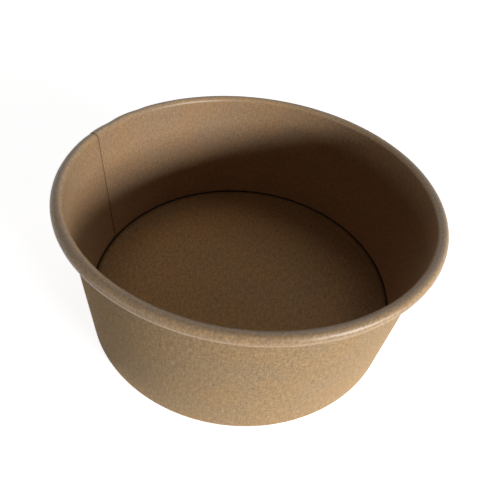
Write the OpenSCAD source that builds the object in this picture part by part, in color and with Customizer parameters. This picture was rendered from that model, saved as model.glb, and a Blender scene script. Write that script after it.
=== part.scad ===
// Round paper food bowl: a tapered wall with a rolled rim and a lapped seam, and a recessed base.
// The origin is on the table at the centre of the foot, +Z is up, and the units are millimetres.

/* [Bowl] */
// Outer diameter across the rolled rim
rim_d = 150; // [146:1:165]
// Outer diameter across the foot
foot_d = 128; // [118:1:134]
// Height over all
bowl_h = 60; // [45:1:80]

/* [Board] */
// Thickness of the paperboard
board_t = 0.4; // [0.3:0.05:0.5]
// Film of sealant between two plies that are pressed together
film_t = 0.05; // [0.04:0.01:0.08]

/* [Rim] */
// Outer diameter of the rim's curl, seen in section
curl_d = 4.3; // [4:0.1:5.5]
// Clear space between two turns of the curl
curl_gap = 0.1; // [0.1:0.01:0.14]
// How far the board's edge is rolled past one full turn, in degrees
curl_extra = 100; // [60:5:140]

/* [Base] */
// Height of the base's upper face above the table
base_top = 6.5; // [6.2:0.1:10]
// Outer radius of the bend between the base and its skirt
bend_r = 1.3; // [0.6:0.1:1.6]
// Height of the wall's hem, which is turned in and up behind the skirt
hem_h = 4.8; // [2.5:0.1:4.8]

/* [Seam] */
// Width of the lap, where the two ends of the wall's board overlap
lap_w = 8; // [5:0.5:12]
// Direction of the inner ply's edge, in degrees from +X
seam_dir = 166; // [0:1:359]
// Height over which the step at the inner ply's edge fades out under the rim
step_fade = 4; // [2:0.5:8]

/* [Hidden] */
$fn = 144;

foot_r = foot_d / 2;
curl_r = curl_d / 2;
turn = (board_t + curl_gap) / 2;
arc_step = 12;

// The wall leans out so that its inner face runs into the curl without a kink.
curl_centre = [rim_d / 2 - curl_r, bowl_h - curl_r];
reach = curl_centre - [foot_r, 0];
lean = atan2(reach.x, reach.y) - asin((curl_r - board_t) / norm(reach));
outward = [cos(lean), -sin(lean)];

// Faces that run with the wall, as distances out from its outer face
ply = board_t + film_t;
wall_inner = -board_t;
skirt_outer = -ply;
skirt_inner = -ply - board_t;
hem_outer = -2 * ply;
hem_inner = -2 * ply - board_t;

// The outer ply leaves the cone on a tangent and goes straight until it is one ply out, on the lap.
// It starts a little inside the wall's faces, so that it grows out of them.
sunk = 0.03;
neck_r = rim_d / 2 - curl_d;
joggle_angle = acos(neck_r / (neck_r + board_t - sunk));
joggle_w = neck_r * tan(joggle_angle);
lap_angle = lap_w / foot_r * 180 / PI;
edge_angle = 0.2;
ply_top = curl_centre.y - curl_r / 4;

// A point at height z on the face that lies `out` beyond the wall's outer face
function at(z, out) = [foot_r + z * tan(lean) + out / cos(lean), z];

// Points of an arc about c, clockwise from angle a to angle b
function arc(c, r, a, b) =
  let (n = ceil((a - b) / arc_step))
  [for (i = [0:n]) let (w = a + (b - a) * i / n) c + r * [cos(w), sin(w)]];

function backwards(points) = [for (i = [len(points) - 1:-1:0]) points[i]];

// The first turn of the curl, up to the angle `end`: the board's food side, or `deep` below it
function first_turn(deep, end) = concat(
  arc(curl_centre, curl_r - deep, 180 - lean, -lean),
  arc(curl_centre + turn * outward, curl_r - turn - deep, -lean, end)
);

// The whole curl, with the end of the board tucked inside the first turn
function curl(deep) = concat(
  first_turn(deep, -180 - lean),
  arc(curl_centre, curl_r - 2 * turn - deep, -180 - lean, -180 - lean - curl_extra)
);

// Section of the wall's board, from the hem's upper edge to the end of the curl and back
function wall_section() = concat(
  [at(hem_h, hem_outer), at(board_t, hem_outer), at(board_t, wall_inner)],
  curl(0),
  backwards(curl(board_t)),
  arc(at(board_t, wall_inner), board_t, -lean, -90),
  arc(at(board_t, hem_outer), board_t, 270, 180 - lean),
  [at(hem_h, hem_inner)]
);

// Section of the base, from its axis out, round the bend and down the skirt
function base_section() =
  let (bend_c = at(base_top - bend_r, skirt_outer - bend_r))
  concat(
    [[0, base_top]],
    arc(bend_c, bend_r, 90, -lean),
    [at(board_t, skirt_outer), at(board_t, skirt_inner)],
    backwards(arc(bend_c, bend_r - board_t, 90, -lean)),
    [[0, base_top - board_t]]
  );

// Section of the outer ply on the wall, whose outer face lies `out` beyond the wall's
function ply_section(out, thick) =
  let (fold = at(board_t, wall_inner), fold_r = board_t + out)
  concat(
    [at(ply_top, out - thick), at(ply_top, out)],
    arc(fold, fold_r, -lean, -asin(min(1, board_t / fold_r))),
    [[fold.x - board_t / 4, max(0, -out)], [fold.x - board_t / 4, board_t / 2]],
    [at(board_t, out - thick)]
  );

// Section of the same ply where it is folded in under the bowl and up the hem
function hem_ply_section() =
  let (fold = at(board_t, hem_outer))
  concat(
    [at(hem_h, hem_inner + board_t / 2), at(board_t, hem_inner + board_t / 2)],
    [[fold.x + board_t / 4, board_t / 2], [fold.x + board_t / 4, 0]],
    arc(fold, 2 * board_t, 210, 180 - lean),
    [at(hem_h, hem_inner - board_t)]
  );

// Section of what is cut away inside the joggle, so that the board keeps its thickness there
function recess_section() = [
  at(base_top + board_t, wall_inner - sunk),
  at(bowl_h - curl_d - step_fade, wall_inner - sunk),
  at(bowl_h - curl_d, 2 * wall_inner - sunk),
  at(bowl_h - curl_d, 4 * wall_inner),
  at(base_top + board_t, 4 * wall_inner)
];

// Section of the cut edge's line, which goes on over the rim
function edge_section() = concat(
  [at(bowl_h - curl_d - step_fade, 2 * wall_inner)],
  first_turn(wall_inner, -120),
  backwards(first_turn(board_t / 2, -120)),
  [at(bowl_h - curl_d - step_fade, wall_inner / 2)]
);

// A section drawn out straight along the joggle, up to the radial plane of the inner ply's edge
module joggle()
  intersection() {
    rotate([90, 0, 0]) linear_extrude(2 * joggle_w) children();
    rotate([0, 0, -joggle_angle]) cube([rim_d, 2 * joggle_w, bowl_h]);
  }

module lap()
  rotate_extrude(start = -joggle_angle - lap_angle, angle = lap_angle + edge_angle) children();

// The seam is made about +X, where the joggle ends, and then turned into its own direction.
module side_wall()
  color([0.68, 0.56, 0.40])
  rotate([0, 0, seam_dir + joggle_angle])
  difference() {
    union() {
      rotate_extrude() polygon(wall_section());
      lap() polygon(ply_section(board_t, 1.5 * board_t));
      lap() polygon(hem_ply_section());
      joggle() polygon(ply_section(-sunk, 0.9 * board_t));
    }
    joggle() polygon(recess_section());
    rotate_extrude(start = -joggle_angle - edge_angle / 2, angle = edge_angle)
      polygon(edge_section());
  }

module base_disc()
  color([0.62, 0.50, 0.35])
  rotate_extrude() polygon(base_section());

side_wall();
base_disc();
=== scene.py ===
"""Kraft paper bowl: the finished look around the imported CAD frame.

The wall is one sheet of board. It starts at the hem behind the base's skirt, folds under the foot,
goes up the wall and rolls out and down into the curl of the rim. Its two ends lap in the side seam.
The base is a disc of board whose edge is bent down into a skirt that stands in the wall's fold.
Sizes are in millimetres and angles in degrees until a mesh, lamp or camera is made.
"""

import bpy
import numpy as np
from mathutils import Matrix, Vector


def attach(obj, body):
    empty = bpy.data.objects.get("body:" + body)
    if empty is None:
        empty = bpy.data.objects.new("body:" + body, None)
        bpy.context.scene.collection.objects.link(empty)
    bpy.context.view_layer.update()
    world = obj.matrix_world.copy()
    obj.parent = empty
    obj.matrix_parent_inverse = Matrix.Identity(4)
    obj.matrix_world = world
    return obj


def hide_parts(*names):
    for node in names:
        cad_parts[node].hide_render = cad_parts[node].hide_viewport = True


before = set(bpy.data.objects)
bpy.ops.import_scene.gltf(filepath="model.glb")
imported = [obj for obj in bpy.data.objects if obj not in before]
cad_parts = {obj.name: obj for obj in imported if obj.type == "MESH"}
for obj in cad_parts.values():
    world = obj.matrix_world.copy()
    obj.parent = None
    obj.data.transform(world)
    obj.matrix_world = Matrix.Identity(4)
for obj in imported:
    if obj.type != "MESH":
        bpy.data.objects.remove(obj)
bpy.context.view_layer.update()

MM = 0.001

# Bowl, as in the frame
RIM_R = 75.0
FOOT_R = 64.0
BOWL_H = 60.0
BOARD = 0.4
FILM = 0.05
CURL_R = 2.15
TURN = 0.25
TAIL = 100.0
BASE_TOP = 6.5
BEND_R = 1.3
HEM_H = 4.8
FOLD_R = 0.12

# Side seam: the inner ply ends at SEAM_DIR, and the outer ply runs on behind it for LAP degrees.
# It moves out over JOGGLE degrees before that, and the fold and the curl open over SETTLE degrees.
# Its way out is a power curve, which is steeper in the curl, from ROLL_FROM on.
SEAM_DIR = 166.0
LAP = 7.16
JOGGLE = 5.85
SETTLE = 6.0
LAP_TURN = 0.45
LAP_GAP = 0.04
LAP_SHIFT = BOARD + LAP_GAP
ROLL_FROM = 48.0
ROLL_FADE = 8.0
RISE_POWER = 2
ROLL_POWER = 4

# Irregularity of the real board, always inward, so that the bowl keeps its outer size.
# A dent has a direction, a width and a depth, and a wave has a count, a phase and a height.
RIM_DENTS = ((157.5, 3.6, 0.35), (144.0, 2.4, 0.22))
DENT_DROP = 0.5
WAVES = ((2, 20, 0.030), (5, 75, 0.022), (9, 140, 0.016), (23, 10, 0.010), (41, 200, 0.007))
WAVE_FROM = 20.0
WAVE_FULL = 58.0
BASE_SAG = 0.12
SAG_EDGE = 0.93
SAG_DRIFT = 0.25
SAG_WAVE = (17.0, 21.0)

# Grooves pressed into the hem
KNURL_PITCH = 3.0
KNURL_DEEP = 0.10
KNURL_FROM = 1.4
KNURL_TO = HEM_H - 0.3
KNURL_FADE = 0.6

# Mesh
STEP = 0.75
FINE_STEP = 0.35
HEM_ROWS = 7
FOLD_STEPS = 4
WALL_HEIGHTS = np.concatenate([[2.2, 3.8], np.linspace(5.0, 7.4, 13), np.linspace(9.0, 56.0, 17)])
CURL_STEPS = 12
TAIL_STEPS = 6
CURL_ROW = 1 + HEM_ROWS + 2 * (FOLD_STEPS + 1) + len(WALL_HEIGHTS)
RIM_ROWS = CURL_STEPS + 2
DISC_CELLS = 90
BEND_STEPS = 12
SKIRT_ROWS = 3
SMOOTH_ANGLE = 40

# Marks on the mesh, from 0 to 1. Painted shade is strongest in the groove round the base, softer
# on the flat part beside it, and lies on the crest of the rim, at CREST degrees on the curl.
GROOVE_SHADE_TOP = BASE_TOP + 0.6
GROOVE_SHADE_FADE = 0.9
BEND_SHADE = 0.6
BEND_FADE = 0.15
EDGE_SHADE = 0.45
EDGE_FROM = 0.55
CREST = 88.0
CREST_SHADE = 0.42
CREST_FROM = 0.75
ROLLED_FADE = 2.0
UNDER_FROM = 0.15
UNDER_TO = 0.75

# Board, as linear colours
KRAFT_WARM = (0.475, 0.312, 0.157)
KRAFT_COOL = (0.446, 0.308, 0.170)
FIBRE_DARK = (0.300, 0.190, 0.090)
FIBRE_PALE = (0.600, 0.440, 0.265)
RAW_EDGE = (0.470, 0.315, 0.170)
RAW_DARK = 0.6
# Painted shade: its darkest tone, in the groove round the base, on the base's edge and on the rim's
# crest
PAINTED_SHADE_TONE = 0.18
RIM_TONE = (1.03, 1.02, 0.90)
RIM_ROUGH = 0.38

# Finish of each side: tone, contrast of the patterns, roughness, depth of the bump, specular level
FOOD_TONE = (1.03, 0.985, 1.06)
FOOD_SIDE = (FOOD_TONE, 0.95, 0.58, 0.035, 0.12)
RIM_SIDE = (FOOD_TONE, 0.95, 0.58, 0.035, 0.66)
# The base's board is about 1.2 times lighter than the wall's food side: painted light on the base,
# which the lamps leave too dark; its warmer hue is its own colour
LIGHTENED_BASE_SIDE = ((1.28, 1.19, 1.09), 1.40, 0.62, 0.040, 0.12)
OUTER_SIDE = ((0.98, 0.985, 1.01), 1.25, 0.80, 0.050, 0.15)
EDGE_BUMP = 0.03
EDGE_SPECULAR = 0.1

# Patterns of the board, in the sheet's millimetres: stretch, shift, scale, detail and roughness
PLAIN = (1.0, 1.0, 1.0)
PATTERNS = {
    "cloud": (PLAIN, (0, 0, 0), 0.055, 3, 0.55),
    "mottle": (PLAIN, (0, 0, 0), 0.85, 4, 0.66),
    "grain": (PLAIN, (0, 0, 0), 2.4, 3, 0.60),
    "fibre": ((1.9, 0.30, 1.0), (31, 7, 0), 1.0, 3, 0.60),
    "streak": ((1.5, 1.0, 1.0), (13, 47, 0), 1.0, 3, 0.70),
    "fleck": ((1.5, 0.8, 1.0), (5, 83, 0), 0.9, 2, 0.50),
    "shred": ((2.2, 0.7, 1.0), (71, 19, 0), 0.9, 2, 0.50),
}
OUTSIDE_DEPTH = 40.0

# Range of the noise over which an effect comes in, and its values at the two ends of the range
CLOUD_RANGE = (0.32, 0.68, 0.0, 1.0)
STREAK_RANGE = (0.30, 0.70, -1.0, 1.0)
FLECK_RANGE = (0.64, 0.72, 0.0, 0.5)
SHRED_RANGE = (0.66, 0.76, 0.0, 0.35)
ROUGH_RANGE = (0.25, 0.75, -0.05, 0.05)

# How much each pattern lightens and darkens the board (range of the noise, amount), and raises it
LIGHTS = (("mottle", 0.28, 0.72, 0.16), ("fibre", 0.28, 0.72, 0.12), ("grain", 0.30, 0.70, 0.14))
STREAK_LIGHT = 0.20
HEIGHTS = (("mottle", 0.9), ("fibre", 0.7), ("grain", 0.45))
STREAK_HEIGHT = 0.3

# Layers along the cut edge: scale on the sheet, noise, and the range in which they show
LAYER_SCALE = (500, 500, 120)
LAYER_NOISE = (1.6, 3, 0.6)
LAYER_RANGE = (0.3, 0.7)
LAYER_ROUGH = (0.85, 0.95)

# Photograph's frame and camera, fitted to the rim, the foot and the seam
FRAME_PX = 500
CAMERA_POS = (0.0, -164.325, 173.890)
CAMERA_DIR = (0.047006, 0.856017, -0.514806)
CAMERA_RIGHT = (0.989365, 0.031122, 0.142087)
FOCAL_PX = 507.6
CENTRE_PX = (287.0, 150.0)
SENSOR = 36.0
CLIP = (0.01, 50.0)

# Light: direction and elevation in degrees, distance, width and height in metres, power in watts
KEY = (-38.0, 11.7, 1.2, 0.52, 0.19, 11.9)
BACK = (64.0, 52.0, 1.5, 1.30, 0.70, 2.55)
FILL = (216.0, 4.5, 1.5, 0.60, 0.16, 1.85)
BACK_COLOUR = (1.06, 1.0, 0.92)
PANEL_DIR = -57.0
PANEL_OUT = 0.055
PANEL_R = 0.075
PANEL_POWER = 0.0245
AMBIENT = (0.0065, 0.0065, 0.0095)

# Floor: its colour, its own glow near the bowl, and where that has risen to white, in metres
FLOOR_COLOUR = (0.86, 0.86, 0.86)
FLOOR_GLOW = 0.90
FLOOR_NEAR = 0.15
FLOOR_FAR = 0.60
FLOOR_HALF = 5.0
FLOOR_DROP = 0.2

CENTRE = np.array([RIM_R - CURL_R, BOWL_H - CURL_R])
REACH = CENTRE - np.array([FOOT_R, 0.0])
LEAN = np.degrees(
    np.arctan2(REACH[0], REACH[1]) - np.arcsin((CURL_R - BOARD) / np.hypot(*REACH))
)
TAN_LEAN = np.tan(np.radians(LEAN))
COS_LEAN = np.cos(np.radians(LEAN))

# Faces that run with the wall, as distances out from its outer face
PLY = BOARD + FILM
WALL_FOOD = -BOARD
SKIRT_OUT = -PLY
HEM_FOOD = -2 * PLY


# Section of a sheet: points on its food side, with the direction to its outer side

def unit(angle):
    """Unit vectors for angles in degrees."""
    w = np.radians(angle)
    return np.stack([np.cos(w), np.sin(w)], -1)


def at(z, out):
    """The point at height z that lies `out` beyond the wall's outer face."""
    z = np.asarray(z, float)
    return np.stack([FOOT_R + z * TAN_LEAN + out / COS_LEAN, z], -1)


def bend(centre, radius, start, end, steps, hollow):
    """Points of an arc and their outer directions, which point to the centre where it is hollow."""
    rays = unit(np.linspace(start, end, steps + 1))
    return centre + radius * rays, -rays if hollow else rays


def line(start, end, rows, direction):
    """Points of a straight run, without its two ends, and their outer directions."""
    t = np.linspace(0, 1, rows + 2)[1:-1, None]
    return start + (end - start) * t, np.repeat(direction[None], rows, 0)


def curl_arcs(turn):
    """The curl's three arcs, each one rolled tighter than the one before."""
    out = unit(-LEAN)
    first = bend(CENTRE, CURL_R, 180 - LEAN, -LEAN, CURL_STEPS, True)
    second = bend(CENTRE + turn * out, CURL_R - turn, -LEAN, -180 - LEAN, CURL_STEPS, True)
    third = bend(CENTRE, CURL_R - 2 * turn, -180 - LEAN, -180 - LEAN - TAIL, TAIL_STEPS, True)
    return [first, (second[0][1:], second[1][1:]), (third[0][1:], third[1][1:])]


def wall_section(lift, turn):
    """The wall's board from the hem's upper edge to the end of the curl."""
    floor = BOARD + lift + FOLD_R
    out, back = unit(-LEAN), unit(180 - LEAN)
    hem_top = at(HEM_H, HEM_FOOD)
    hem_fold = bend(at(floor, HEM_FOOD + FOLD_R), FOLD_R, 180 - LEAN, 270, FOLD_STEPS, False)
    wall_fold = bend(at(floor, WALL_FOOD - FOLD_R), FOLD_R, 270, 360 - LEAN, FOLD_STEPS, False)
    parts = [
        (hem_top[None], back[None]),
        line(hem_top, hem_fold[0][0], HEM_ROWS, back),
        hem_fold,
        wall_fold,
        (at(WALL_HEIGHTS, WALL_FOOD), np.repeat(out[None], len(WALL_HEIGHTS), 0)),
        *curl_arcs(turn),
    ]
    return np.concatenate([p[0] for p in parts]), np.concatenate([p[1] for p in parts])


def base_section(skirt_end):
    """The base's board from the edge of its flat part, round the bend and down the skirt."""
    centre = at(BASE_TOP - BEND_R, SKIRT_OUT - BEND_R)
    points, rays = bend(centre, BEND_R, 90, -LEAN, BEND_STEPS, False)
    end = at(skirt_end, SKIRT_OUT)
    run = line(points[-1], end, SKIRT_ROWS, rays[-1])
    points = np.concatenate([points, run[0], end[None]])
    rays = np.concatenate([rays, run[1], rays[-1:]])
    return points, rays


# Seam: how far the sheet is moved out, lifted and rolled tighter at each place round the bowl

def ease(x):
    """Smooth step from 0 to 1."""
    x = np.clip(x, 0, 1)
    return x * x * (3 - 2 * x)


def seam_values(angle, power):
    """Shift to the outside, lift of the fold, and turn of the curl, at an angle of the sheet."""
    from_inner = SEAM_DIR - angle
    from_outer = angle - (SEAM_DIR - LAP - 360)
    rise = np.clip(1 - (from_outer - LAP) / JOGGLE, 0, 1)
    settle = ease(1 - (from_inner - LAP) / SETTLE)
    shift = LAP_SHIFT * rise ** power
    lift = LAP_SHIFT * np.maximum(rise ** RISE_POWER, settle)
    turn = TURN + (LAP_TURN - TURN) * np.maximum(ease(rise), settle)
    return shift, lift, turn


def skirt_lift(angle):
    """How far the skirt's edge is raised where the wall's two plies lie under it."""
    lap = (angle - SEAM_DIR + LAP) % 360
    lap = lap - 360 if lap > 180 + LAP / 2 else lap
    return LAP_SHIFT * ease(1 + lap / SETTLE) * ease(1 - (lap - LAP) / SETTLE)


def wave(angle):
    """Depth of the slow waves round the rim, from 0 to twice their heights."""
    return sum(h * (1 - np.cos(np.radians(n * angle + p))) for n, p, h in WAVES)


def irregular(points, angle):
    """Points of one section with the small dents and waves of the real board."""
    height = ease((points[:, 1] - WAVE_FROM) / (WAVE_FULL - WAVE_FROM))
    dent = 0.0
    for place, width, deep in RIM_DENTS:
        away = (angle - place + 180) % 360 - 180
        dent += deep * np.exp(-(away / width) ** 2)
    moved = points.copy()
    moved[:, 0] -= height * (dent + wave(angle))
    moved[:, 1] -= height * DENT_DROP * dent
    return moved


def knurl(angle, points):
    """Depth of the pressed grooves on the hem's inner face at each row of the section."""
    groove = 0.5 - 0.5 * np.cos(np.radians(360 * angle / KNURL_PITCH))
    z = points[:, 1]
    middle = ease((z - KNURL_FROM) / KNURL_FADE) * ease((KNURL_TO - z) / KNURL_FADE)
    hem = np.arange(len(points)) <= HEM_ROWS
    return KNURL_DEEP * groove * middle * hem


# Meshes

def turned(points, angle):
    """Section points, as radius and height, placed at an angle round the axis."""
    w = np.radians(angle)
    r, z = points[:, 0], points[:, 1]
    return np.stack([r * np.cos(w), r * np.sin(w), z], -1)


def grid_faces(first, columns, rows, closed, flip):
    """Quads of a grid of vertices, which may close on itself across its columns."""
    i = np.arange(columns if closed else columns - 1)
    k = np.arange(rows - 1)
    i, k = (g.ravel() for g in np.meshgrid(i, k, indexing="ij"))
    j = (i + 1) % columns
    quads = np.stack([i * rows + k, j * rows + k, j * rows + k + 1, i * rows + k + 1], -1) + first
    return quads[:, ::-1] if flip else quads


def strip_faces(a, b, flip, closed=False):
    """Quads between two rows of vertex numbers."""
    if closed:
        a, b = np.append(a, a[0]), np.append(b, b[0])
    quads = np.stack([a[:-1], b[:-1], b[1:], a[1:]], -1)
    return quads[:, ::-1] if flip else quads


def make_object(name, points, sheet, marks, groups, materials):
    """A mesh object from points in millimetres, with its sheet coordinates and one material a group.

    The marks, from 0 to 1, tell the material where the board is rolled and where shade is painted.
    """
    faces = np.concatenate(groups)
    mesh = bpy.data.meshes.new(name)
    mesh.from_pydata((points * MM).tolist(), [], faces.tolist())
    slots = np.repeat(range(len(groups)), [len(g) for g in groups])
    mesh.polygons.foreach_set("material_index", slots)
    mesh.polygons.foreach_set("use_smooth", np.ones(len(faces), bool))
    mesh.set_sharp_from_angle(angle=np.radians(SMOOTH_ANGLE))
    attribute = mesh.attributes.new("sheet", "FLOAT_VECTOR", "POINT")
    attribute.data.foreach_set("vector", (sheet * MM).ravel())
    for mark, values in zip(("rolled", "painted_shade"), marks):
        attribute = mesh.attributes.new(mark, "FLOAT", "POINT")
        attribute.data.foreach_set("value", values)
    for material in materials:
        mesh.materials.append(material)
    mesh.update()
    made = bpy.data.objects.new(name, mesh)
    bpy.context.scene.collection.objects.link(made)
    return made


def both_sides(sheet, marks):
    """Sheet coordinates and marks of both sides: the outer side has other patterns and no marks."""
    sheet = np.concatenate([sheet, sheet + [0, 0, OUTSIDE_DEPTH]])
    return sheet, [np.concatenate([mark, 0 * mark]) for mark in marks]


def sheet_angles():
    """Angles of the wall's columns, from the inner ply's edge to the outer ply's edge."""
    start, end = SEAM_DIR, SEAM_DIR - LAP - 360
    fine_from = end + LAP + JOGGLE + SETTLE
    coarse = np.arange(start, fine_from, -STEP)
    fine = np.linspace(fine_from, end + LAP, round((JOGGLE + SETTLE) / FINE_STEP) + 1)
    last = np.linspace(end + LAP, end, round(LAP / STEP) + 1)[1:]
    return np.concatenate([coarse, fine, last])


def wall_marks(points, rays, along):
    """Where one column of the wall is rolled, and where shade is painted on it."""
    under = ease((UNDER_TO - rays[:, 1]) / (UNDER_TO - UNDER_FROM))
    rolled = ease((along - along[CURL_ROW]) / ROLLED_FADE + 0.5) * under
    # Painted shade on the crest of the rim
    crest_shade = ease((-rays @ unit(CREST) - CREST_FROM) / (1 - CREST_FROM))
    crest_shade = CREST_SHADE * crest_shade * (points[:, 1] > BOWL_H - 2 * CURL_R)
    # Painted shade in the groove round the base
    groove = ease((GROOVE_SHADE_TOP - points[:, 1]) / GROOVE_SHADE_FADE)
    return rolled, np.maximum(groove, crest_shade)


def wall_column(angle):
    """Both sides of the wall's board at one angle, with its sheet coordinates and its marks."""
    _, lift, turn = seam_values(angle, RISE_POWER)
    points, rays = wall_section(lift, turn)
    curled = ease((points[:, 1] - ROLL_FROM) / ROLL_FADE)
    power = RISE_POWER + (ROLL_POWER - RISE_POWER) * curled
    shift = seam_values(angle, power)[0][:, None]
    deep = shift + BOARD - knurl(angle, points)[:, None]
    food = turned(irregular(points + rays * shift, angle), angle)
    outside = turned(irregular(points + rays * deep, angle), angle)
    steps = np.hypot(*np.diff(points, axis=0).T)
    along = np.concatenate([[0.0], np.cumsum(steps)])
    across = np.full(len(along), np.radians(angle) * FOOT_R)
    sheet = np.stack([across, along, np.zeros(len(along))], -1)
    return food, outside, sheet, *wall_marks(points, rays, along)


def make_wall(materials):
    """The wall's sheet of board, closed round its four edges."""
    made = [wall_column(angle) for angle in sheet_angles()]
    food, outside, sheet, rolled, painted_shade = (np.concatenate(part) for part in zip(*made))
    columns = len(made)
    rows = len(food) // columns
    number = np.arange(2 * len(food)).reshape(2, columns, rows)
    edges = [
        strip_faces(number[0, 0], number[1, 0], True),
        strip_faces(number[0, -1], number[1, -1], False),
        strip_faces(number[0, :, 0], number[1, :, 0], False),
        strip_faces(number[0, :, -1], number[1, :, -1], True),
    ]
    food_side = grid_faces(0, columns, rows, False, False)
    row = np.tile(np.arange(rows - 1), columns - 1)
    rim = (row >= CURL_ROW) & (row < CURL_ROW + RIM_ROWS)
    groups = [
        food_side[~rim],
        grid_faces(len(food), columns, rows, False, True),
        np.concatenate(edges),
        food_side[rim],
    ]
    sheet, marks = both_sides(sheet, [rolled, painted_shade])
    points = np.concatenate([food, outside])
    return make_object("side_wall_board", points, sheet, marks, groups, materials)


def disc_grid(radius):
    """A square grid laid round on a disc: its points, its quads and its rim in order of angle."""
    n = DISC_CELLS
    ticks = np.linspace(-1, 1, n + 1)
    a, b = (g.ravel() for g in np.meshgrid(ticks, ticks, indexing="ij"))
    flat = np.abs(a) > np.abs(b)
    reach = np.where(flat, a, b)
    other = np.where(flat, b, a)
    quarter = np.pi / 4 * other / np.where(reach == 0, 1, reach)
    w = np.where(flat, quarter, np.pi / 2 - quarter)
    points = radius * np.stack([reach * np.cos(w), reach * np.sin(w)], -1)
    rim = np.flatnonzero(np.maximum(np.abs(a), np.abs(b)) > 1 - 1e-9)
    angle = np.degrees(np.arctan2(points[rim, 1], points[rim, 0])) % 360
    order = np.argsort(angle)
    i, k = (g.ravel() for g in np.meshgrid(np.arange(n), np.arange(n), indexing="ij"))
    corner = i * (n + 1) + k
    quads = np.stack([corner, corner + n + 1, corner + n + 2, corner + 1], -1)
    return points, quads, rim[order], angle[order]


def sag(xy):
    """How far the flat part of the base lies under its edge."""
    away = np.hypot(xy[:, 0], xy[:, 1]) / FOOT_R
    swing = np.sin(xy[:, 0] / SAG_WAVE[0] + 1) * np.cos(xy[:, 1] / SAG_WAVE[1])
    return BASE_SAG * (1 - ease(away / SAG_EDGE)) * (1 - SAG_DRIFT + SAG_DRIFT * swing)


def disc_painted_shade(xy, rim, radius):
    """Painted shade on the flat part of the base, which grows towards the bend."""
    away = np.hypot(xy[:, 0], xy[:, 1]) / radius
    painted_shade = EDGE_SHADE * ease((away - EDGE_FROM) / (1 - EDGE_FROM))
    painted_shade[rim] = BEND_SHADE
    return painted_shade


def skirt_column(angle, radius):
    """Both sides of the base's bend and skirt at one angle, with sheet coordinates and painted
    shade.
    """
    points, rays = base_section(BOARD + FILM + skirt_lift(angle))
    top = turned(points[1:], angle)
    under = turned((points - BOARD * rays)[1:], angle)
    along = radius + np.cumsum(np.hypot(*np.diff(points, axis=0).T))
    sheet = np.column_stack([along[:, None] * unit(angle), np.zeros(len(along))])
    painted_shade = BEND_SHADE + (1 - BEND_SHADE) * ease((1 - rays[1:, 1]) / BEND_FADE)
    return top, under, sheet, painted_shade


def make_base(materials):
    """The base's disc of board with its bent-down skirt, closed at the skirt's edge."""
    radius = at(BASE_TOP - BEND_R, SKIRT_OUT - BEND_R)[0]
    xy, quads, rim, angles = disc_grid(radius)
    disc = np.column_stack([xy, BASE_TOP - sag(xy)])
    made = [skirt_column(angle, radius) for angle in angles]
    top, under, sheet, painted_shade = (np.concatenate(part) for part in zip(*made))
    columns = len(made)
    rows = len(top) // columns
    count, low = len(disc), len(disc) + len(top)
    skirt = np.arange(len(top)).reshape(columns, rows)
    groups = [
        np.concatenate([
            quads,
            strip_faces(rim, count + skirt[:, 0], False, True),
            grid_faces(count, columns, rows, True, True),
        ]),
        np.concatenate([
            low + quads[:, ::-1],
            strip_faces(low + rim, low + count + skirt[:, 0], True, True),
            grid_faces(low + count, columns, rows, True, False),
        ]),
        strip_faces(count + skirt[:, -1], low + count + skirt[:, -1], False, True),
    ]
    points = np.concatenate([disc, top, disc - [0, 0, BOARD], under])
    sheet = np.concatenate([np.column_stack([xy, np.zeros(count)]), sheet])
    painted_shade = np.concatenate([disc_painted_shade(xy, rim, radius), painted_shade])
    sheet, marks = both_sides(sheet, [0 * painted_shade, painted_shade])
    return make_object("base_disc_board", points, sheet, marks, groups, materials)


# Materials

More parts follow.
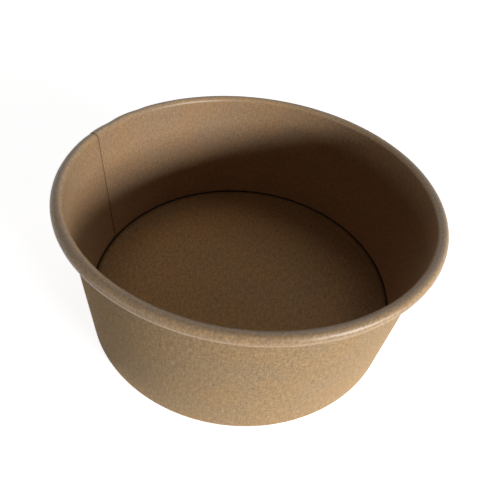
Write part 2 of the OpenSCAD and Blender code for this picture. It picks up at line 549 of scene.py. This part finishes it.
class Nodes:
    """Short helpers that add nodes to one material."""

    def __init__(self, material):
        self.tree = material.node_tree
        self.tree.nodes.clear()

    def add(self, kind, **settings):
        node = self.tree.nodes.new(kind)
        for key, value in settings.items():
            setattr(node, key, value)
        return node

    def link(self, source, target):
        self.tree.links.new(source, target)

    def sheet(self, scale):
        """The place on the sheet, in metres times the scale."""
        place = self.add("ShaderNodeAttribute", attribute_name="sheet").outputs["Vector"]
        return self.scaled(place, scale)

    def mark(self, name):
        return self.add("ShaderNodeAttribute", attribute_name=name).outputs["Fac"]

    def scaled(self, vector, scale, shift=(0, 0, 0)):
        node = self.add("ShaderNodeMapping")
        node.inputs["Scale"].default_value = scale
        node.inputs["Location"].default_value = shift
        self.link(vector, node.inputs["Vector"])
        return node.outputs["Vector"]

    def noise(self, vector, scale, detail, roughness):
        node = self.add("ShaderNodeTexNoise")
        node.inputs["Scale"].default_value = scale
        node.inputs["Detail"].default_value = detail
        node.inputs["Roughness"].default_value = roughness
        self.link(vector, node.inputs["Vector"])
        return node.outputs["Fac"]

    def ramp(self, value, low, high, to_low=0.0, to_high=1.0):
        node = self.add("ShaderNodeMapRange", interpolation_type="SMOOTHSTEP")
        names = ("From Min", "From Max", "To Min", "To Max")
        for name, number in zip(names, (low, high, to_low, to_high)):
            node.inputs[name].default_value = number
        self.link(value, node.inputs["Value"])
        return node.outputs["Result"]

    def math(self, operation, a, b):
        node = self.add("ShaderNodeMath", operation=operation)
        for socket, value in zip(node.inputs, (a, b)):
            if isinstance(value, (int, float)):
                socket.default_value = value
            else:
                self.link(value, socket)
        return node.outputs[0]

    def total(self, values):
        """The sum of several values."""
        result = values[0]
        for value in values[1:]:
            result = self.math("ADD", result, value)
        return result

    def blend(self, amount, a, b, mode="MIX"):
        node = self.add("ShaderNodeMix", data_type="RGBA", blend_type=mode)
        for socket, value in zip((node.inputs[0], node.inputs[6], node.inputs[7]), (amount, a, b)):
            if isinstance(value, (int, float)):
                socket.default_value = value
            elif isinstance(value, tuple):
                socket.default_value = (*value, 1)
            else:
                self.link(value, socket)
        return node.outputs[2]

    def grey(self, value):
        """A grey colour of the given value."""
        node = self.add("ShaderNodeCombineColor")
        for socket in node.inputs:
            self.link(value, socket)
        return node.outputs["Color"]

    def surface(self, colour, roughness, height, bump, specular):
        shader = self.add("ShaderNodeBsdfPrincipled")
        shader.inputs["Specular IOR Level"].default_value = specular
        relief = self.add("ShaderNodeBump")
        relief.inputs["Distance"].default_value = bump * MM
        self.link(height, relief.inputs["Height"])
        self.link(relief.outputs["Normal"], shader.inputs["Normal"])
        self.link(colour, shader.inputs["Base Color"])
        self.link(roughness, shader.inputs["Roughness"])
        self.link(shader.outputs["BSDF"], self.add("ShaderNodeOutputMaterial").inputs["Surface"])


def tinted(colour, tone):
    """A colour times a tone for each of its channels."""
    return tuple(c * t for c, t in zip(colour, tone))


def board_light(n, pattern, streak, contrast):
    """How light the board is at each place, where 1 is its plain colour."""
    parts = [n.ramp(pattern[name], low, high, -k, k) for name, low, high, k in LIGHTS]
    light = n.total(parts + [n.math("MULTIPLY", streak, STREAK_LIGHT)])
    light = n.math("ADD", n.math("MULTIPLY", light, contrast), 1.0)
    # Painted shade darkens the board in the groove, on the base's edge and on the rim's crest
    return n.math("MULTIPLY", light, n.ramp(n.mark("painted_shade"), 0.0, 1.0, 1.0, PAINTED_SHADE_TONE))


def board_height(n, pattern, streak):
    """Relief of the board's surface."""
    parts = [n.math("MULTIPLY", pattern[name], k) for name, k in HEIGHTS]
    return n.total(parts + [n.math("MULTIPLY", streak, STREAK_HEIGHT)])


def board_material(name, tone, contrast, rough, bump, specular):
    """Unbleached board: cloudy tone, mottle, fibres along the sheet, and sparse flecks."""
    material = bpy.data.materials.new(name)
    material.use_nodes = True
    n = Nodes(material)
    place = n.sheet((1 / MM, 1 / MM, 1 / MM))
    pattern = {
        key: n.noise(n.scaled(place, stretch, shift), scale, detail, roughness)
        for key, (stretch, shift, scale, detail, roughness) in PATTERNS.items()
    }
    rolled = n.mark("rolled")
    streak = n.math("MULTIPLY", n.ramp(pattern["streak"], *STREAK_RANGE), rolled)
    warm, cool = tinted(KRAFT_WARM, tone), tinted(KRAFT_COOL, tone)
    colour = n.blend(n.ramp(pattern["cloud"], *CLOUD_RANGE), warm, cool)
    light = n.grey(board_light(n, pattern, streak, contrast))
    colour = n.blend(1.0, colour, light, "MULTIPLY")
    colour = n.blend(rolled, colour, RIM_TONE, "MULTIPLY")
    colour = n.blend(n.ramp(pattern["fleck"], *FLECK_RANGE), colour, tinted(FIBRE_DARK, tone))
    colour = n.blend(n.ramp(pattern["shred"], *SHRED_RANGE), colour, tinted(FIBRE_PALE, tone))
    drift = n.ramp(pattern["mottle"], *ROUGH_RANGE)
    roughness = n.math("ADD", n.ramp(rolled, 0.0, 1.0, rough, RIM_ROUGH), drift)
    n.surface(colour, roughness, board_height(n, pattern, streak), bump, specular)
    return material


def edge_material():
    """The board's cut edge: rough, with its layers running along it."""
    material = bpy.data.materials.new("board_cut_edge")
    material.use_nodes = True
    n = Nodes(material)
    layers = n.noise(n.sheet(LAYER_SCALE), *LAYER_NOISE)
    dark = tuple(k * RAW_DARK for k in RAW_EDGE)
    colour = n.blend(n.ramp(layers, *LAYER_RANGE), RAW_EDGE, dark)
    roughness = n.ramp(layers, *LAYER_RANGE, *LAYER_ROUGH)
    n.surface(colour, roughness, layers, EDGE_BUMP, EDGE_SPECULAR)
    return material


# Stage

def shown(n, strength):
    """The strength for rays that show the background, and 0 for those that light the bowl."""
    path = n.add("ShaderNodeLightPath").outputs
    seen = n.math("MAXIMUM", path["Is Camera Ray"], path["Is Glossy Ray"])
    seen = n.math("MAXIMUM", seen, path["Is Transmission Ray"])
    return n.math("MULTIPLY", seen, strength)


def floor_material():
    """A pale floor that keeps the bowl's shadow and turns white away from it."""
    material = bpy.data.materials.new("pale_floor")
    material.use_nodes = True
    n = Nodes(material)
    diffuse = n.add("ShaderNodeBsdfDiffuse")
    diffuse.inputs["Color"].default_value = (*FLOOR_COLOUR, 1)
    away = n.add("ShaderNodeVectorMath", operation="LENGTH")
    n.link(n.add("ShaderNodeTexCoord").outputs["Object"], away.inputs[0])
    level = n.ramp(away.outputs["Value"], FLOOR_NEAR, FLOOR_FAR, FLOOR_GLOW, 1.0)
    glow = n.add("ShaderNodeEmission")
    n.link(shown(n, level), glow.inputs["Strength"])
    both = n.add("ShaderNodeAddShader")
    n.link(diffuse.outputs[0], both.inputs[0])
    n.link(glow.outputs[0], both.inputs[1])
    n.link(both.outputs[0], n.add("ShaderNodeOutputMaterial").inputs["Surface"])
    return material


def make_floor():
    """A wide flat floor just under the foot."""
    mesh = bpy.data.meshes.new("floor")
    s, z = FLOOR_HALF, -FLOOR_DROP * MM
    mesh.from_pydata([(-s, -s, z), (s, -s, z), (s, s, z), (-s, s, z)], [], [(0, 1, 2, 3)])
    mesh.materials.append(floor_material())
    floor = bpy.data.objects.new("floor", mesh)
    bpy.context.scene.collection.objects.link(floor)


def make_world():
    """White behind the bowl, and a low even light on it."""
    world = bpy.data.worlds.new("studio")
    world.use_nodes = True
    bpy.context.scene.world = world
    n = Nodes(world)
    ambient, white = n.add("ShaderNodeBackground"), n.add("ShaderNodeBackground")
    ambient.inputs["Color"].default_value = (*AMBIENT, 1)
    white.inputs["Color"].default_value = (1, 1, 1, 1)
    mix = n.add("ShaderNodeMixShader")
    n.link(shown(n, 1.0), mix.inputs[0])
    n.link(ambient.outputs[0], mix.inputs[1])
    n.link(white.outputs[0], mix.inputs[2])
    n.link(mix.outputs[0], n.add("ShaderNodeOutputWorld").inputs["Surface"])


def make_lamp(name, place, colour=(1, 1, 1)):
    """A soft rectangular lamp that faces the bowl from a direction and an elevation."""
    direction, elevation, far, width, height, power = place
    lamp = bpy.data.lights.new(name, "AREA")
    lamp.shape = "RECTANGLE"
    lamp.size, lamp.size_y = width, height
    lamp.energy = power
    lamp.color = colour
    holder = bpy.data.objects.new(name, lamp)
    a, e = np.radians(direction), np.radians(elevation)
    away = Vector((np.cos(a) * np.cos(e), np.sin(a) * np.cos(e), np.sin(e)))
    holder.location = away * far + Vector((0, 0, BOWL_H * MM / 2))
    holder.rotation_mode = "QUATERNION"
    holder.rotation_quaternion = (-away).to_track_quat("-Z", "Y")
    bpy.context.scene.collection.objects.link(holder)


def make_panel():
    """A round panel of light that lies on the floor under the bowl's front and faces up."""
    lamp = bpy.data.lights.new("panel", "AREA")
    lamp.shape = "DISK"
    lamp.size = 2 * PANEL_R
    lamp.energy = PANEL_POWER
    holder = bpy.data.objects.new("panel", lamp)
    a = np.radians(PANEL_DIR)
    holder.location = (PANEL_OUT * np.cos(a), PANEL_OUT * np.sin(a), -FLOOR_DROP * MM / 2)
    holder.rotation_euler = (np.pi, 0, 0)
    holder.visible_camera = False
    bpy.context.scene.collection.objects.link(holder)


def make_camera():
    """The photograph's camera: its place, its lean, and the frame's offset from the lens axis."""
    data = bpy.data.cameras.new("camera")
    data.sensor_width = SENSOR
    data.lens = SENSOR * FOCAL_PX / FRAME_PX
    data.shift_x = 0.5 - CENTRE_PX[0] / FRAME_PX
    data.shift_y = CENTRE_PX[1] / FRAME_PX - 0.5
    data.clip_start, data.clip_end = CLIP
    camera = bpy.data.objects.new("camera", data)
    right, forward = Vector(CAMERA_RIGHT), Vector(CAMERA_DIR)
    up = right.cross(forward)
    turn = Matrix((right, up, -forward)).transposed().to_4x4()
    camera.matrix_world = Matrix.Translation(Vector(CAMERA_POS) * MM) @ turn
    bpy.context.scene.collection.objects.link(camera)
    bpy.context.scene.camera = camera


# Scene

def dress():
    """Make both pieces, which stand for the two CAD nodes."""
    coated = board_material("board_food_side", *FOOD_SIDE)
    rim = board_material("board_rim", *RIM_SIDE)
    # Painted light: the base's board is made lighter than the wall's
    bottom = board_material("board_base_painted_light", *LIGHTENED_BASE_SIDE)
    plain = board_material("board_outer_side", *OUTER_SIDE)
    edge = edge_material()
    wall = make_wall([coated, plain, edge, rim])
    base = make_base([bottom, plain, edge])
    for piece, node, slot in ((wall, "side_wall", "wall_board"), (base, "base_disc", "base_board")):
        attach(piece, "root")
        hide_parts(node)


bpy.context.scene.view_settings.view_transform = "Standard"
make_camera()
make_floor()
make_world()
make_lamp("key", KEY)
make_lamp("back", BACK, BACK_COLOUR)
make_lamp("fill", FILL)
make_panel()
dress()
